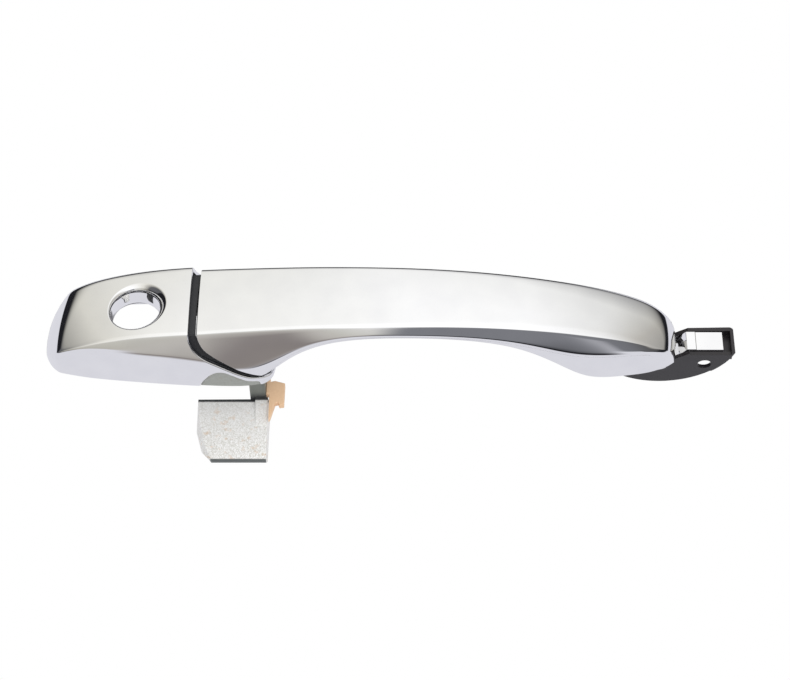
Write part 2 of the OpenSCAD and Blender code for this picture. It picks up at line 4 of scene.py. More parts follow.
import bmesh
import bpy
import numpy as np
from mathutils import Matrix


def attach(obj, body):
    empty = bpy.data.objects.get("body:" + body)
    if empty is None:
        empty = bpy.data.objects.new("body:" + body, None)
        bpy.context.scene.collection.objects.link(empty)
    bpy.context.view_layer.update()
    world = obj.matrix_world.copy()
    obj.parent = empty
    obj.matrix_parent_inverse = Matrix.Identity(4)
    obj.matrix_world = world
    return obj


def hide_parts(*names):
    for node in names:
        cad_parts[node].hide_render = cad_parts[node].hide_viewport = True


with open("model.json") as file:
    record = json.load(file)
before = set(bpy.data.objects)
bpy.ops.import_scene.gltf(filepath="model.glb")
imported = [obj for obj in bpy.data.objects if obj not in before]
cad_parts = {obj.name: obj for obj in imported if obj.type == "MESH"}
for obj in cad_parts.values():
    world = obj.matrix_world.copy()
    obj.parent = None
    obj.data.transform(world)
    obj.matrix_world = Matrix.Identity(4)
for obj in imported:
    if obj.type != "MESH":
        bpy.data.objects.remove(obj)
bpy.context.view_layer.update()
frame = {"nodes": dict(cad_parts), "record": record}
MM = 0.001

# ---- chrome shells: station rows, as in the part -------------------------------------------

# Columns of a row: x on the mid line, lean and bow of the section with height, then height and
# depth of the face's upper edge, the crease, the face's crown, the chamfer's lower edge, the
# base's lower edge, the base's depth and the base's upper edge
X, LEAN, BOW, Z_TOP, T_TOP, Z_CREASE, T_CREASE, CROWN, Z_CHAM, T_CHAM, Z_LOW, T_BASE, Z_HIGH = range(13)

CAP = np.array([
    [-33.0, 0.04, 0.012, 5.0, 0.0, -5.0, 0.0, 0.0, -5.4, 0.0, -5.8, 0, 6.5],
    [-32.4, 0.06, 0.012, 6.4, 3.0, -7.4, 2.6, 0.0, -7.9, 1.8, -8.4, 0, 9.5],
    [-30.6, 0.08, 0.010, 9.0, 7.6, -10.2, 6.2, 0.0, -10.8, 5.2, -11.4, 0, 12.6],
    [-28.2, 0.10, 0.007, 11.4, 11.2, -12.0, 10.0, 0.2, -12.5, 9.0, -13.0, 0, 14.6],
    [-26.4, 0.12, 0.004, 12.6, 13.4, -12.8, 12.2, 0.5, -13.2, 11.4, -13.6, 0, 15.4],
    [-23.0, 0.13, 0.002, 13.8, 14.8, -12.7, 13.8, 0.7, -13.3, 12.8, -14.2, 0, 16.0],
    [-15.0, 0.12, 0.000, 15.6, 16.8, -12.6, 17.4, 0.8, -13.6, 16.4, -15.8, 0, 16.8],
    [-1.0, 0.10, 0.000, 17.0, 19.2, -12.7, 22.0, 0.9, -16.0, 16.4, -17.2, 0, 17.4],
    [13.0, 0.09, 0.000, 17.2, 21.2, -12.8, 23.6, 0.9, -16.8, 15.6, -18.4, 0, 17.7],
    [27.0, 0.06, 0.000, 17.0, 22.6, -12.7, 24.8, 0.9, -17.8, 13.6, -19.3, 0, 17.8],
    [39.0, 0.00, -0.002, 16.4, 20.0, -12.7, 20.0, 0.9, -18.4, 10.6, -19.6, 0, 17.6],
    [47.0, 0.00, -0.008, 14.8, 12.0, -12.7, 10.0, 0.9, -17.0, 6.6, -18.4, 0, 16.4],
    [50.5, 0.00, -0.008, 13.4, 0.0, -12.4, 0.0, 0.0, -14.8, 0.0, -16.2, 0, 14.6]])

GRIP = np.array([
    [10.0, 0.09, 0, 16.2, 20.6, -13.0, 23.0, 0.8, -17.4, 15.0, -18.6, 0.5, 17.0],
    [26.0, 0.07, 0, 15.8, 22.4, -12.7, 24.6, 0.8, -18.4, 11.0, -19.0, 0.5, 16.9],
    [42.0, 0.00, 0, 15.2, 24.0, -12.5, 26.0, 0.8, -18.8, 8.4, -19.0, 1.5, 16.4],
    [56.0, 0.00, 0, 14.8, 25.2, -12.3, 27.0, 0.8, -15.4, 18.6, -14.6, 15.2, 15.5],
    [72.0, 0.00, 0, 14.3, 26.1, -12.1, 27.8, 0.8, -14.5, 24.6, -13.0, 20.6, 14.6],
    [94.0, 0.00, 0, 13.7, 26.5, -11.9, 28.5, 0.8, -14.4, 25.2, -12.9, 21.6, 14.0],
    [116.0, 0.00, 0, 12.9, 25.6, -11.8, 28.2, 0.8, -14.4, 24.0, -12.9, 20.2, 13.4],
    [134.0, 0.00, 0, 12.0, 23.8, -11.8, 26.8, 0.8, -14.8, 21.0, -13.8, 16.4, 12.8],
    [148.0, 0.00, 0, 11.2, 21.6, -11.8, 24.8, 0.8, -15.5, 16.2, -15.2, 7.0, 12.6],
    [158.0, 0.00, 0, 10.6, 19.6, -11.8, 22.6, 0.8, -15.6, 14.5, -16.4, 0.0, 12.6],
    [170.0, 0.00, 0, 9.6, 16.4, -11.6, 19.6, 0.8, -14.8, 14.4, -15.6, 0.5, 12.8],
    [180.0, 0.00, -0.004, 7.8, 13.4, -11.2, 14.6, 0.8, -13.2, 13.1, -14.4, 0.5, 12.2],
    [185.4, 0.00, -0.010, 4.8, 11.0, -10.6, 10.8, 0.6, -11.8, 9.8, -12.6, 0.5, 10.6],
    [188.2, 0.00, -0.013, 2.6, 8.0, -9.6, 8.2, 0.0, -10.4, 7.8, -11.0, 0.5, 9.2],
    [189.4, 0.00, -0.014, 1.4, 4.0, -8.8, 4.0, 0.0, -9.4, 4.0, -9.8, 0.5, 8.2],
    [189.8, 0.00, -0.014, 1.0, 0.5, -8.6, 0.5, 0.0, -9.0, 0.5, -9.4, 0.5, 8.0]])

# Side view of the lock cap's lip and of the arch in its lower wall, as x and depth
LIP = [[19.4, 30], [19.4, 22], [19.7, 20.5], [21.2, 17], [25.4, 13.6], [29, 11.3], [38.7, 4.9],
       [44.4, 3.3], [49, 2.8], [52, 2.4], [60, 1.6]]
# What is rounded off below the lip's tip
TIP = [[30, -1.5], [44.5, 0], [46.5, 0.5], [48.3, 1.5], [49.6, 2.5], [54, 3]]
ARCH = [[22, -4], [22.3, 0.7], [23.8, 3.4], [25.8, 6], [27.4, 7.3], [29.1, 7.9], [31, 7.7],
        [33.1, 6.5], [35.5, 4.9], [38.5, 3], [40.4, 2.5], [42.8, 2], [43.3, 0], [43.3, -4]]

WALL = 1.8                  # thickness of the moulding
LIP_GAP = 3.0               # clear width between the cap's lip and the grip's tail
BULGE = 4.5                 # crown of the hand side
BORE_R = 8.6                # bore for the key cylinder
BORE_BACK = 11.2            # depth t where the bore's tube ends
CAP_ENDS = -33.6, 50.6      # x of the lock cap's two ends
GRIP_ENDS = 15.0, 191.5     # x of the grip's two ends, before its tail is cut to the lip
TAIL_X, HEEL_X, FOOT_X = 45.0, 56.0, 187.0    # where the hand side starts, is clear, and ends
FOOT_RISE = 8.0             # length over which the seam comes back down at the foot
SEAM_TOP, SEAM_LOW = 0.65, 1.3                # how high the seams sit: a share of the wall, and mm
FACE_ROUND, CHAMFER_ROUND, HAND_ROUND = 1.6, 0.9, 1.4
CREASE_SHARP, CREASE_SOFT = 1.1, 3.0          # reach of the crease's rounding at tail and hinge
SOFTENS = 90.0, 150.0       # x between which the crease grows softer
CHAMFER_CROWN = 0.08
STREET_RIM, CAP_RIM, HAND_RIM = 0.06, 0.4, 0.11   # rounding of the shells' cut edges
MOUTH_X, MOUTH_Z, MOUTH_FLARE = 0.9, 0.5, 1.9     # middle of the bore's mouth, and its flare
LOWER_WALL = -11.0          # below this height the arch cuts the cap
FACE_DEPTH = 14.0           # nearer the street than this the bore cuts the cap
FAR = 99.0
# Points along a section: rounded edge, face, crease, chamfer, foot of the chamfer
EDGE_STEPS, FACE_STEPS, CREASE_STEPS, CHAMFER_STEPS, FOOT_STEPS = 9, 24, 10, 9, 8


def spline_rows(table, u):
    """Rows of the cubic B-spline through the table, carried on straight past its ends."""
    last = len(table) - 1
    padded = np.vstack([2 * table[0] - table[1], table, 2 * table[-1] - table[-2]])
    s = np.clip(u, 0, 1) * last
    i = np.minimum(s.astype(int), last - 1)
    f = (s - i)[:, None]
    rows = ((1 - f) ** 3 * padded[i] + (3 * f ** 3 - 6 * f ** 2 + 4) * padded[i + 1]
            + (-3 * f ** 3 + 3 * f ** 2 + 3 * f + 1) * padded[i + 2] + f ** 3 * padded[i + 3]) / 6
    before = np.minimum(u, 0)[:, None] * last * (table[1] - table[0])
    after = np.maximum(u - 1, 0)[:, None] * last * (table[-1] - table[-2])
    return rows + before + after


def even_rows(table, start_x, end_x, count):
    """Rows spaced evenly by how far the section travels, from start_x to end_x."""
    before, after, samples = -0.12, 1.08, 4000
    height_share = 0.6
    u = np.linspace(before, after, samples)
    rows = spline_rows(table, u)
    travel = rows[:, [X, Z_TOP, T_TOP, Z_CHAM, T_CREASE]]
    travel[:, 1:] *= height_share
    length = np.concatenate([[0], np.cumsum(np.linalg.norm(np.diff(travel, axis=0), axis=1))])
    ends = np.interp([start_x, end_x], rows[:, X], length)
    return spline_rows(table, np.interp(np.linspace(*ends, count), length, u))


def step_up(a, b, x):
    """Smooth step from 0 at a to 1 at b."""
    k = np.clip((x - a) / (b - a), 0, 1)
    return k * k * (3 - 2 * k)


def mix(a, b, k):
    return a + (b - a) * k


def corner_point(r, t, z):
    """Points (t, z) of the rows from two of their columns."""
    return np.stack([r[:, t], r[:, z]], axis=1)


def towards(b, a, distance, most=0.45):
    """Points at a distance from b on the way to a, and no further than a share of the way."""
    gap = np.maximum(np.linalg.norm(a - b, axis=1), 0.001)
    return b + (a - b) * np.minimum(distance / gap, most)[:, None]


def curve(a, control, c, count, first=True):
    """Quadratic curve, as (rows, points, 2)."""
    s = np.linspace(0, 1, count)[0 if first else 1:, None]
    return ((1 - s) ** 2 * a[:, None] + 2 * s * (1 - s) * control[:, None] + s ** 2 * c[:, None])


def straight(a, c, count):
    return curve(a, (a + c) / 2, c, count)[:, :-1]


def face_and_chamfer(r, start, end):
    """From the upper wall over the face, crease and chamfer to the lower wall."""
    top = corner_point(r, T_TOP, Z_TOP)
    crease = corner_point(r, T_CREASE, Z_CREASE)
    cham = corner_point(r, T_CHAM, Z_CHAM)
    face = (top + crease) / 2
    face[:, 0] += 2 * r[:, CROWN]
    slope = cham - crease
    outward = np.stack([-slope[:, 1], slope[:, 0]], axis=1)
    outward /= np.maximum(np.linalg.norm(outward, axis=1), 0.001)[:, None]
    rise = 2 * CHAMFER_CROWN * np.minimum(r[:, CROWN], 1)[:, None]
    chamfer = (crease + cham) / 2 + outward * rise
    soft = mix(CREASE_SHARP, CREASE_SOFT, step_up(*SOFTENS, r[:, X]))
    face_start = towards(top, face, FACE_ROUND)
    face_end = towards(crease, face, soft)
    chamfer_start = towards(crease, chamfer, soft)
    chamfer_end = towards(cham, chamfer, CHAMFER_ROUND)
    return [curve(towards(top, start, FACE_ROUND), top, face_start, EDGE_STEPS),
            curve(face_start, face, face_end, FACE_STEPS, False),
            curve(face_end, crease, chamfer_start, CREASE_STEPS, False),
            curve(chamfer_start, chamfer, chamfer_end, CHAMFER_STEPS, False),
            curve(chamfer_end, cham, towards(cham, end, CHAMFER_ROUND), FOOT_STEPS, False)]


def seam_rise(r):
    """How far the seam between street side and hand side has risen, from tail and foot."""
    risen = step_up(TAIL_X, HEEL_X, r[:, X]) * step_up(FOOT_X, FOOT_X - FOOT_RISE, r[:, X])
    return mix(0.05, 1.0, risen)[:, None]


def upper_seam(r):
    high = corner_point(r, T_BASE, Z_HIGH)
    return mix(high, corner_point(r, T_TOP, Z_TOP), SEAM_TOP * seam_rise(r))


def lower_seam(r):
    low = corner_point(r, T_BASE, Z_LOW)
    return mix(low, towards(corner_point(r, T_CHAM, Z_CHAM), low, SEAM_LOW, 0.6), seam_rise(r))


def cap_section(r):
    """The cap's open section: upper wall, face, chamfer and lower wall."""
    high = corner_point(r, T_BASE, Z_HIGH)
    low = corner_point(r, T_BASE, Z_LOW)
    below = np.array([-1.2, 0])
    top = corner_point(r, T_TOP, Z_TOP)
    cham = corner_point(r, T_CHAM, Z_CHAM)
    front = face_and_chamfer(r, high, low)
    return np.concatenate([straight(high + below, high, 3),
                           straight(high, towards(top, high, FACE_ROUND), 12), *front,
                           curve(towards(cham, low, CHAMFER_ROUND), (cham + low) / 2, low, 14, False),
                           straight(low, low + below, 3)[:, 1:], (low + below)[:, None]], axis=1)


def street_section(r):
    """The grip's street side, from the upper seam round to the lower one."""
    high = corner_point(r, T_BASE, Z_HIGH)
    low = corner_point(r, T_BASE, Z_LOW)
    top = corner_point(r, T_TOP, Z_TOP)
    cham = corner_point(r, T_CHAM, Z_CHAM)
    start = towards(upper_seam(r), top, STREET_RIM)
    end = towards(lower_seam(r), cham, STREET_RIM)
    near = towards(cham, low, CHAMFER_ROUND)
    return np.concatenate([straight(start, towards(top, high, FACE_ROUND), EDGE_STEPS),
                           *face_and_chamfer(r, high, low),
                           curve(near, (near + end) / 2, end, EDGE_STEPS, False)], axis=1)


def hand_section(r):
    """The grip's hand side, from the lower seam over the crowned back to the upper one."""
    high = corner_point(r, T_BASE, Z_HIGH)
    low = corner_point(r, T_BASE, Z_LOW)
    back = (high + low) / 2
    back[:, 0] -= 2 * BULGE * step_up(6, 20, r[:, T_BASE])
    start = towards(lower_seam(r), low, HAND_RIM)
    end = towards(upper_seam(r), high, HAND_RIM)
    low_start = towards(low, start, HAND_ROUND)
    low_end = towards(low, back, HAND_ROUND)
    high_start = towards(high, back, HAND_ROUND)
    high_end = towards(high, end, HAND_ROUND)
    return np.concatenate([straight(start, low_start, 6),
                           curve(low_start, low, low_end, 8),
                           curve(low_end, back, high_start, 22, False),
                           curve(high_start, high, high_end, 8, False),
                           curve(high_end, (high + end) / 2, end, 6, False)], axis=1)


def surface(rows, section):
    """Grid of points in the row frame, in millimetres."""
    line = section(rows)
    t, z = line[..., 0], line[..., 1]
    x = rows[:, None, X] + rows[:, None, LEAN] * z + rows[:, None, BOW] * z ** 2
    return np.stack([x, -t, z], axis=2)


def along(grid, axis):
    """Unit tangents of a grid of points along one axis, for unevenly spaced points."""
    steps = np.diff(grid, axis=axis)
    size = np.maximum(np.linalg.norm(steps, axis=2, keepdims=True), 1e-6)
    steps = np.moveaxis(steps / size, axis, 0)
    size = np.moveaxis(size, axis, 0)
    inside = (steps[:-1] * size[1:] + steps[1:] * size[:-1]) / (size[1:] + size[:-1])
    full = np.concatenate([steps[:1], inside, steps[-1:]])
    return np.moveaxis(full, 0, axis)


def unit(v):
    """Vectors brought to length one."""
    return v / np.maximum(np.linalg.norm(v, axis=-1, keepdims=True), 1e-9)


# ---- cutting and closing a shell --------------------------------------------------------------

def smooth_line(points, rounds=3):
    """Corner-cut version of an open line of points."""
    line = np.array(points, float)
    for _ in range(rounds):
        quarter = mix(line[:-1], line[1:], 0.25)
        three = mix(line[:-1], line[1:], 0.75)
        line = np.vstack([line[:1], np.stack([quarter, three], axis=1).reshape(-1, 2), line[-1:]])
    return line


def side_of(line, points):
    """Signed distance from a line in the side view, above zero on its left."""
    flat = np.stack([points[..., 0], -points[..., 1]], axis=-1).reshape(-1, 2)
    a, b = line[:-1], line[1:]
    d = b - a
    rel = flat[:, None] - a[None]
    k = np.clip((rel * d).sum(2) / (d * d).sum(1), 0, 1)
    gap = np.linalg.norm(rel - k[..., None] * d, axis=2)
    nearest = gap.argmin(1)
    picked = np.arange(len(flat))
    cross = d[nearest, 0] * rel[picked, nearest, 1] - d[nearest, 1] * rel[picked, nearest, 0]
    return (np.sign(cross) * gap[picked, nearest]).reshape(points.shape[:-1])


def trimmed(grid, keep):
    """Points, normals and faces of the part of a grid where keep(points) is above zero."""
    normal = unit(np.cross(along(grid, 1), along(grid, 0)))
    rows, cols = grid.shape[:2]
    value = keep(grid)
    inside = value > 0
    number = -np.ones((rows, cols), int)
    number[inside] = np.arange(inside.sum())
    points = list(grid[inside])
    normals = list(normal[inside])
    corners = [inside[:-1, :-1], inside[:-1, 1:], inside[1:, 1:], inside[1:, :-1]]
    kept = sum(c.astype(int) for c in corners)
    faces = []
    for i, j in np.argwhere(kept == 4):
        faces.append((number[i, j], number[i, j + 1], number[i + 1, j + 1], number[i + 1, j]))
    made = {}
    halvings = 12

    def crossing(p, q):
        key = (min(p, q), max(p, q))
        if key not in made:
            low, high = (p, q) if inside[p] else (q, p)
            a, b = 0.0, 1.0
            for _ in range(halvings):
                middle = (a + b) / 2
                spot = mix(grid[low], grid[high], middle)
                if keep(spot[None])[0] > 0:
                    a = middle
                else:
                    b = middle
            made[key] = len(points)
            points.append(mix(grid[low], grid[high], a))
            normals.append(unit(mix(normal[low], normal[high], a)))
        return made[key]

    for i, j in np.argwhere((kept > 0) & (kept < 4)):
        ring = [(i, j), (i, j + 1), (i + 1, j + 1), (i + 1, j)]
        face = []
        for p, q in zip(ring, ring[1:] + ring[:1]):
            if inside[p]:
                face.append(number[p])
            if inside[p] != inside[q]:
                face.append(crossing(p, q))
        faces.append(tuple(face))
    return np.array(points), np.array(normals), faces


def open_edges(faces):
    """Loops of vertices around the openings, with the surface on their left."""
    smallest_loop = 8
    used = set()
    for f in faces:
        used.update(zip(f, f[1:] + f[:1]))
    following = {a: b for a, b in used if (b, a) not in used}
    loops = []
    while following:
        start, here = following.popitem()
        loop = [start]
        while here != start and here in following:
            loop.append(here)
            here = following.pop(here)
        loops.append(np.array(loop))
    return [loop for loop in loops if len(loop) > smallest_loop]


def welded(points, normals, faces, near=0.1):
    """The same surface with the short edges along its openings closed up."""
    same = np.arange(len(points))
    for loop in open_edges(faces):
        for a, b in zip(loop[:-1], loop[1:]):
            if np.linalg.norm(points[same[a]] - points[b]) < near:
                same[b] = same[a]
    rings = [[same[v] for v in f] for f in faces]
    rings = [[v for v, w in zip(f, f[1:] + f[:1]) if v != w] for f in rings]
    rings = [f for f in rings if len(f) > 2]
    used = np.unique(np.concatenate([np.array(f) for f in rings]))
    number = np.zeros(len(points), int)
    number[used] = np.arange(len(used))
    return points[used], normals[used], [tuple(int(number[v]) for v in f) for f in rings]


def loop_tangent(points, reach=0.6):
    """Direction along a closed loop, measured over a short length on each side."""
    closed = np.vstack([points, points[:1]])
    s = np.concatenate([[0], np.cumsum(np.linalg.norm(np.diff(closed, axis=0), axis=1))])
    ends = [np.stack([np.interp((s[:-1] + d) % s[-1], s, closed[:, k]) for k in range(3)], axis=1)
            for d in (reach, -reach)]
    return unit(ends[0] - ends[1])


def edge_profile(points, normal, out, rim):
    """Rounded edge from the outside to the inside of the wall."""
    rings = []
    for turn in np.radians([0, 25, 50, 72, 90]):
        rings.append(points - rim * normal + rim * (math.cos(turn) * normal + math.sin(turn) * out))
    for turn in np.radians([90, 65, 35, 0]):
        rings.append(points - (WALL - rim) * normal
                     + rim * (math.sin(turn) * out - math.cos(turn) * normal))
    return rings


def bore_profile(points, normal, out):
    """Flare of the lock bore's mouth, its straight wall, and the tube's outside, which runs back
    to the inside of the cap's wall."""
    back_rim = 0.4
    tube_length = 5.5
    radial = np.stack([points[:, 0], 0 * points[:, 0], points[:, 2]], axis=1)
    radius = np.linalg.norm(radial, axis=1)[:, None]
    radial = radial / radius
    reach = (radius - BORE_R) / np.maximum(-(out * radial).sum(1, keepdims=True), 0.3)
    doorward = np.array([0, 1, 0])
    mouth = radial * BORE_R + (points + out * reach) * doorward
    start = mix(points, mouth, 0.3)
    end = mouth + 0.6 * reach * doorward
    throat = mouth + (1.1 * reach + 0.4) * doorward
    rings = [(1 - s) ** 3 * points + 3 * s * (1 - s) ** 2 * start + 3 * s ** 2 * (1 - s) * end
             + s ** 3 * throat for s in np.linspace(0, 1, 14)]
    back = radial * BORE_R - BORE_BACK * doorward
    rings += [mix(throat, back - back_rim * doorward, k) for k in (0.33, 0.66, 1.0)]
    for turn in np.radians([30, 60, 90]):
        rings.append(back - back_rim * doorward + radial * back_rim * (1 - math.cos(turn))
                     + back_rim * doorward * math.sin(turn))
    outer = radial * (BORE_R + WALL) - BORE_BACK * doorward
    rings += [outer - radial * 0.2, outer - 0.3 * doorward, outer - tube_length * doorward]
    return rings + [points - WALL * normal]


def shell(name, grid, keep, rim, body, nodes, bore=False):
    """Closed plated shell: the trimmed grid, an inside set in by the wall, and rounded edges."""
    points, normals, faces = welded(*trimmed(grid, keep))
    count = len(points)
    loops = open_edges(faces)
    all_points = [points, points - WALL * normals]
    all_normals = [normals, -normals]
    all_faces = list(faces) + [tuple(v + count for v in reversed(f)) for f in faces]
    total = 2 * count
    for loop in loops:
        p, n = points[loop], normals[loop]
        tangent = loop_tangent(p)
        out = unit(np.cross(tangent, n))
        round_bore = bore and np.hypot(p[:, 0], p[:, 2]).max() < 1.6 * BORE_R
        rings = bore_profile(p, n, out) if round_bore else edge_profile(p, n, out, rim)
        path = along(np.array(rings), 0)
        turned = unit(np.cross(path, tangent[None]))
        size = len(loop)
        index = [loop]
        last = len(rings) - 1
        for k in range(1, last):
            index.append(np.arange(total, total + size))
            all_points.append(rings[k])
            all_normals.append(turned[k])
            total += size
        index.append(loop + count)
        for a, b in zip(index[:-1], index[1:]):
            a2, b2 = np.roll(a, -1), np.roll(b, -1)
            all_faces += list(zip(a2.tolist(), a.tolist(), b.tolist(), b2.tolist()))
    return add_mesh(name, np.vstack(all_points) * MM, all_faces, body, nodes, np.vstack(all_normals))


def add_mesh(name, points, faces, body, nodes, normals):
    """Smooth mesh that rides on a body and stands in for nodes of the part."""
    mesh = bpy.data.meshes.new(name)
    mesh.from_pydata(points.tolist(), [], [tuple(int(v) for v in f) for f in faces])
    mesh.polygons.foreach_set("use_smooth", [True] * len(mesh.polygons))
    mesh.normals_split_custom_set_from_vertices(unit(normals).tolist())
    piece = bpy.data.objects.new(name, mesh)
    bpy.context.scene.collection.objects.link(piece)
    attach(piece, body)
    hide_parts(*nodes)
    return piece


lip = smooth_line(LIP)
tail_lip = lip + np.array([1.0, 0.3]) * LIP_GAP
tip = smooth_line(TIP)
arch = smooth_line(ARCH)


def cap_keep(p):
    """Above zero where the cap stays: short of the lip, clear of the arch and of the bore."""
    t = -p[..., 1]
    lower = p[..., 2] < LOWER_WALL
    hole = np.hypot(p[..., 0] - MOUTH_X, p[..., 2] - MOUTH_Z) - BORE_R - MOUTH_FLARE
    return np.minimum.reduce([-side_of(lip, p) - CAP_RIM, t - CAP_RIM, side_of(tip, p) - CAP_RIM,
                              np.where(lower, side_of(arch, p) - CAP_RIM, FAR),
                              np.where(t > FACE_DEPTH, hole, FAR)])


def street_keep(p):
    """Above zero where the grip's street side stays: past the lip and off the door."""
    return np.minimum(side_of(tail_lip, p) - STREET_RIM, -p[..., 1] - 0.5 - STREET_RIM)


def hand_keep(p):
    """Above zero where the grip's hand side stays."""
    return side_of(tail_lip, p) - STREET_RIM


cap = shell("lock_cap_shell", surface(even_rows(CAP, *CAP_ENDS, 300), cap_section),
            cap_keep, CAP_RIM, "lock_cap", ["cap_shell"], bore=True)
street = shell("grip_street_shell", surface(even_rows(GRIP, *GRIP_ENDS, 250), street_section),
               street_keep, STREET_RIM, "pull_handle", ["grip_outer_shell"])
hand = shell("grip_hand_shell", surface(even_rows(GRIP, TAIL_X, FOOT_X, 200), hand_section),
             hand_keep, STREET_RIM, "pull_handle", ["grip_inner_shell"])


# ---- cast and moulded pieces, from the part's own nodes with their edges rounded ---------------

def softened(name, node_name, body, edge, segments=3, angle=28):
    """The part's own node with its sharp edges rounded by edge (mm), as a new piece."""
    source = frame["nodes"][node_name]
    work = bmesh.new()
    work.from_mesh(source.data)
    bmesh.ops.remove_doubles(work, verts=work.verts, dist=1e-6)
    bmesh.ops.dissolve_limit(work, angle_limit=math.radians(1), verts=work.verts, edges=work.edges)
    mesh = bpy.data.meshes.new(name)
    work.to_mesh(mesh)
    work.free()
    mesh.polygons.foreach_set("use_smooth", [True] * len(mesh.polygons))
    piece = bpy.data.objects.new(name, mesh)
    bpy.context.scene.collection.objects.link(piece)
    bevel = piece.modifiers.new("rounded edges", "BEVEL")
    bevel.width = edge * MM
    bevel.segments = segments
    bevel.limit_method = "ANGLE"
    bevel.angle_limit = math.radians(angle)
    bevel.harden_normals = False
    flat = piece.modifiers.new("flat faces", "WEIGHTED_NORMAL")
    flat.keep_sharp = False
    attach(piece, body)
    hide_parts(node_name)
    return piece


leg = softened("cast_rear_leg", "rear_leg", "pull_handle", 1.1)
clip = softened("spring_clip", "anti_rattle_clip", "pull_handle", 0.2)
tongue = softened("plated_tongue", "hinge_tongue", "pull_handle", 0.22)
guide = softened("moulded_guide", "hinge_guide", "pull_handle", 0.3)
block = softened("cast_arch_block", "arch_block", "lock_cap", 0.2)


# ---- materials ----------------------------------------------------------------------------------

def linear(code):
    """sRGB hex colour as a linear RGBA value."""
    parts = [int(code[i:i + 2], 16) / 255 for i in (1, 3, 5)]
    return [p / 12.92 if p <= 0.04045 else ((p + 0.055) / 1.055) ** 2.4 for p in parts] + [1.0]


def add(tree, kind, values=None, links=None, **settings):
    """A node with its settings, its sockets' values and its links."""
    made = tree.nodes.new(kind)
    for key, value in settings.items():
        setattr(made, key, value)
    for key, value in (values or {}).items():
        made.inputs[key].default_value = value
    for key, source in (links or {}).items():
        tree.links.new(source, made.inputs[key])
    return made


def material(name, base, metallic, roughness, grain_mm, contrast, depth_mm, second=None, spread=0.5,
             rough_spread=0.08, painted_light_bands=(), stain=None):
    """Moulded, cast or plated surface: two tones mixed by a fine grain, with the grain's own
    relief and a slow change of gloss. A casting may have stained specks and bands of painted
    light and shade, each given as an axis, where the band starts and is full (mm), its colour and its
    share."""
    cloud_mm = 14
    speck_mm = 2.4
    made = bpy.data.materials.new(name)
    made.use_nodes = True
    tree = made.node_tree
    tree.nodes.clear()
    body = add(tree, "ShaderNodeTexCoord").outputs["Object"]
    grain = add(tree, "ShaderNodeTexNoise",
                {"Scale": 1 / (grain_mm * MM), "Detail": 3.0, "Roughness": contrast},
                {"Vector": body}).outputs["Fac"]
    cloud = add(tree, "ShaderNodeTexNoise", {"Scale": 1 / (cloud_mm * MM), "Detail": 2.0},
                {"Vector": body}).outputs["Fac"]
    share = add(tree, "ShaderNodeMapRange",
                {"From Min": 0.5 - spread / 2, "From Max": 0.5 + spread / 2},
                {"Value": grain}).outputs["Result"]
    colour = add(tree, "ShaderNodeMix", {6: linear(base), 7: linear(second or base)}, {0: share},
                 data_type="RGBA").outputs[2]
    gloss = add(tree, "ShaderNodeMapRange",
                {"From Min": 0.3, "From Max": 0.7, "To Min": roughness * (1 - rough_spread),
                 "To Max": roughness * (1 + rough_spread)}, {"Value": cloud}).outputs["Result"]
    relief = add(tree, "ShaderNodeBump", {"Strength": 1.0, "Distance": depth_mm * MM},
                 {"Height": grain}).outputs["Normal"]
    if stain:
        specks = add(tree, "ShaderNodeTexNoise", {"Scale": 1 / (speck_mm * MM), "Detail": 3.0},
                     {"Vector": body}).outputs["Fac"]
        amount = add(tree, "ShaderNodeMapRange", {"From Min": 0.6, "From Max": 0.78, "To Max": 0.75},
                     {"Value": specks}).outputs["Result"]
        colour = add(tree, "ShaderNodeMix", {7: linear(stain)}, {0: amount, 6: colour},
                     data_type="RGBA").outputs[2]
    if painted_light_bands:
        axes = add(tree, "ShaderNodeSeparateXYZ", links={"Vector": body})
    # each band paints light or shade over the colour, along one axis of the object
    for axis, start, full, tone, most in painted_light_bands:
        band = add(tree, "ShaderNodeMapRange",
                   {"From Min": start * MM, "From Max": full * MM, "To Max": most},
                   {"Value": axes.outputs[axis]}).outputs["Result"]
        colour = add(tree, "ShaderNodeMix", {7: linear(tone)}, {0: band, 6: colour},
                     data_type="RGBA").outputs[2]
    shader = add(tree, "ShaderNodeBsdfPrincipled", {"Metallic": metallic},
                 {"Base Color": colour, "Roughness": gloss, "Normal": relief})
    add(tree, "ShaderNodeOutputMaterial", links={"Surface": shader.outputs["BSDF"]})
    return made


# Grains are in millimetres. The cast, moulded and machined surfaces' real grain is 0.1 to 0.2 mm,
# too fine to show, so it is drawn coarser, at 0.25 to 0.8 mm.

# Bright nickel-chrome plating: a near mirror, its highlights only a little spread by the
# moulding's faint waviness
chrome = material("bright chrome plating on moulded ABS", "#f4f4f5", 1.0, 0.05, 9.0, 0.4, 0.0006,
                  "#eeeef0", rough_spread=0.3)
# Die-cast zinc: pale speckled casting skin with faint brown stains. Over it is painted light:
# a paler band painted on the paddle's upper part, where the cap's shadow falls, painted shade
# along the paddle's two rims, and painted shade on the stem and block nearer the street
zinc = material("die-cast zinc, as cast", "#c8c6be", 0.12, 0.4, 0.42, 0.8, 0.06, "#ffffff", 0.26,
                painted_light_bands=[("Z", -26, -9, "#ffffff", 0.4), ("Z", -7.4, -6.9, "#3a3c3e", 1.0),
                      ("Z", -30.8, -31.2, "#5c6060", 1.0), ("Y", 29, 25, "#7c807a", 0.8)],
                stain="#c6a070")
# Peach acetal: an even warm colour with a soft waxy sheen
acetal = material("acetal, injection moulded", "#e9c6a2", 0.0, 0.42, 0.8, 0.5, 0.002, "#e2bd98")
# The hinge guide's nylon: nearly black and smooth enough to show a grey sheen on its flat webs
guide_nylon = material("nylon, moulded with a slight gloss", "#1a171a", 0.0, 0.36, 0.6, 0.6, 0.004,
                       "#221f22")
